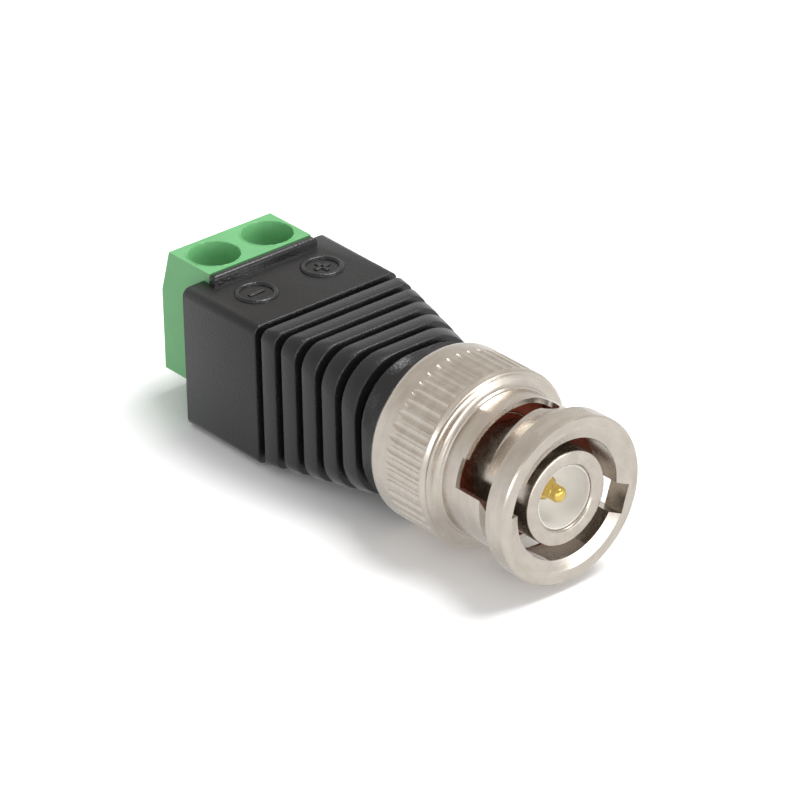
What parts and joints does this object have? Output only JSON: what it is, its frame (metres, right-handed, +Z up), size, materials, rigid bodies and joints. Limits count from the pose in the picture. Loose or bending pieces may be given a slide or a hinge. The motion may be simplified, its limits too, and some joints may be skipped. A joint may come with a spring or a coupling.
{
  "type": "coaxial plug to screw terminal adapter",
  "caption": "Coaxial bayonet plug in nickel plated metal on a black ribbed housing, with a green two-way screw terminal for bare wires.",
  "frame": {"origin": "on the plug's axis, where the free wall of the outer contact begins", "axes": "+X along the plug's axis towards its mouth, +Z up towards the screw heads, +Y across"},
  "size_m": [0.0451, 0.0154, 0.0153],
  "materials": {
    "nickel": "satin",
    "gold": "polished",
    "insulator_plastic": "matt",
    "seal_rubber": "satin",
    "spring_steel": "satin",
    "black_plastic": "satin",
    "green_plastic": "satin",
    "zinc_steel": "satin",
    "tinned_brass": "satin",
    "tinned_wire": "satin",
    "solder": "satin"
  },
  "bodies": {
    "adapter_body": {"plug_body": "nickel", "insulator": "insulator_plastic", "centre_pin": "gold", "gasket": "seal_rubber", "wave_washer": "spring_steel", "housing": "black_plastic", "terminal_body": "green_plastic", "contact_strip_neg": "tinned_brass", "contact_strip_pos": "tinned_brass", "centre_lead": "tinned_wire", "shield_lead": "tinned_wire", "solder_neg": "solder", "solder_pos": "solder", "solder_pin": "solder", "solder_shield": "solder"},
    "thrust": {"thrust_washer": "nickel"},
    "ring": {"coupling_ring": "nickel"},
    "screw_neg": {"clamp_screw_neg": "zinc_steel"},
    "screw_pos": {"clamp_screw_pos": "zinc_steel"},
    "cage_neg": {"clamp_cage_neg": "tinned_brass"},
    "cage_pos": {"clamp_cage_pos": "tinned_brass"}
  },
  "joints": [
    {"name": "ring_slide", "type": "slide", "parent": "adapter_body", "child": "thrust", "axis": [1, 0, 0], "range_m": [0, 0.0007], "stiffness_N_per_m": 900, "springref_m": -0.0003, "deforming": ["wave_washer"]},
    {"name": "ring_turn", "type": "hinge", "parent": "thrust", "child": "ring", "pos_m": [-0.0044, 0, 0], "axis": [1, 0, 0], "continuous": true},
    {"name": "screw_neg_turn", "type": "hinge", "parent": "adapter_body", "child": "screw_neg", "pos_m": [-0.03238, -0.00282, 0.0046], "axis": [0, 0, -1], "range_deg": [0, 1280]},
    {"name": "screw_pos_turn", "type": "hinge", "parent": "adapter_body", "child": "screw_pos", "pos_m": [-0.03238, 0.00282, 0.0046], "axis": [0, 0, -1], "range_deg": [0, 1280]},
    {"name": "cage_neg_lift", "type": "slide", "parent": "adapter_body", "child": "cage_neg", "axis": [0, 0, 1], "range_m": [0, 0.0016]},
    {"name": "cage_pos_lift", "type": "slide", "parent": "adapter_body", "child": "cage_pos", "axis": [0, 0, 1], "range_m": [0, 0.0016]}
  ],
  "couplings": [
    {"joint": "screw_neg_turn", "follows": "cage_neg_lift", "rad_per_m": 13963},
    {"joint": "screw_pos_turn", "follows": "cage_pos_lift", "rad_per_m": 13963}
  ]
}
